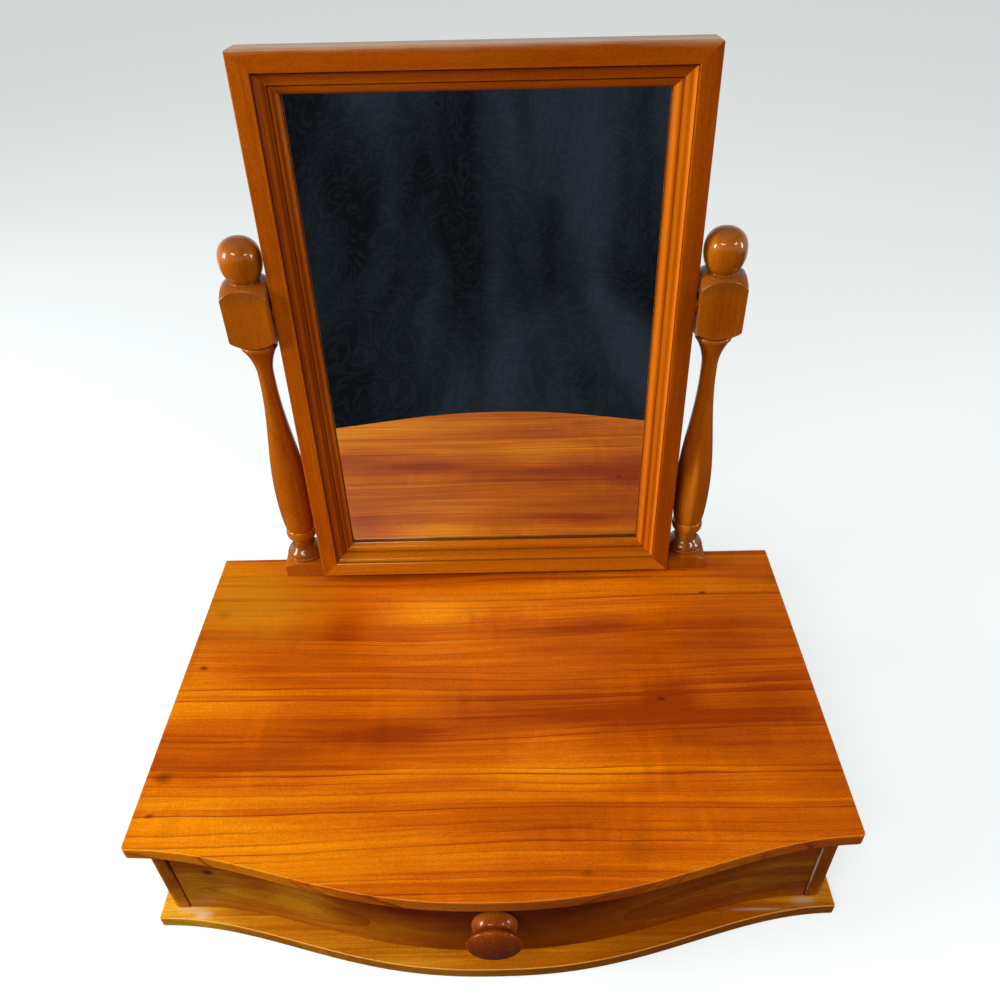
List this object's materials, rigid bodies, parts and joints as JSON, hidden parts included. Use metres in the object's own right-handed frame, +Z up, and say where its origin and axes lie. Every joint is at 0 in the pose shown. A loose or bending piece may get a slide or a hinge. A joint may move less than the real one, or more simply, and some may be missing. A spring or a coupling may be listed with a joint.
{
  "type": "vanity mirror with drawer",
  "caption": "Table-top swing mirror in a moulded wooden frame, hung between turned pillars on a bow-fronted box with a drawer and a turned knob.",
  "frame": {"origin": "middle of the base board's underside, half way between the back edge and the crest of the bowed front, at table height", "axes": "+Z up; +X to the right-hand side seen from the front; the drawer opens and the mirror faces towards -Y"},
  "size_m": [0.45, 0.314, 0.4815],
  "materials": {
    "case_wood": "honey-stained cherry under clear gloss lacquer",
    "pillar_wood": "turned, honey-stained, clear gloss lacquer",
    "frame_wood": "moulded, honey-stained, clear gloss lacquer",
    "drawer_front_wood": "red-brown stained, clear gloss lacquer",
    "knob_wood": "turned, dark stained, clear gloss lacquer",
    "plain_softwood": "planed, unfinished softwood",
    "plywood": "sanded plywood",
    "hardboard": "brown hardboard",
    "mirror_glass": "silvered float glass",
    "steel": "bright zinc-plated steel",
    "brass": "plain brass"
  },
  "bodies": {
    "case": {"base_board": "case_wood", "top_board": "case_wood", "side_panel_left": "case_wood", "side_panel_right": "case_wood", "back_panel": "case_wood", "drawer_stops": "plain_softwood", "top_dowels": "plain_softwood", "base_screws": "steel", "pillar_left": "pillar_wood", "pillar_right": "pillar_wood", "pillar_screws": "brass"},
    "drawer": {"drawer_front": "drawer_front_wood", "drawer_side_left": "plain_softwood", "drawer_side_right": "plain_softwood", "drawer_back": "plain_softwood", "drawer_bottom": "plywood", "drawer_pins": "steel", "drawer_knob": "knob_wood", "knob_screw": "steel"},
    "mirror": {"frame_top_rail": "frame_wood", "frame_bottom_rail": "frame_wood", "frame_stile_left": "frame_wood", "frame_stile_right": "frame_wood", "mirror_glass": "mirror_glass", "backing_board": "hardboard", "backing_pins": "steel", "pivot_pin_left": "steel", "pivot_pin_right": "steel", "pivot_washer_left": "brass", "pivot_washer_right": "brass"}
  },
  "joints": [
    {"name": "drawer_slide", "type": "slide", "parent": "case", "child": "drawer", "axis": [0, -1, 0], "range_m": [0, 0.15]},
    {"name": "mirror_tilt", "type": "hinge", "parent": "case", "child": "mirror", "pos_m": [0, 0.1405, 0.3245], "axis": [1, 0, 0], "continuous": true}
  ]
}
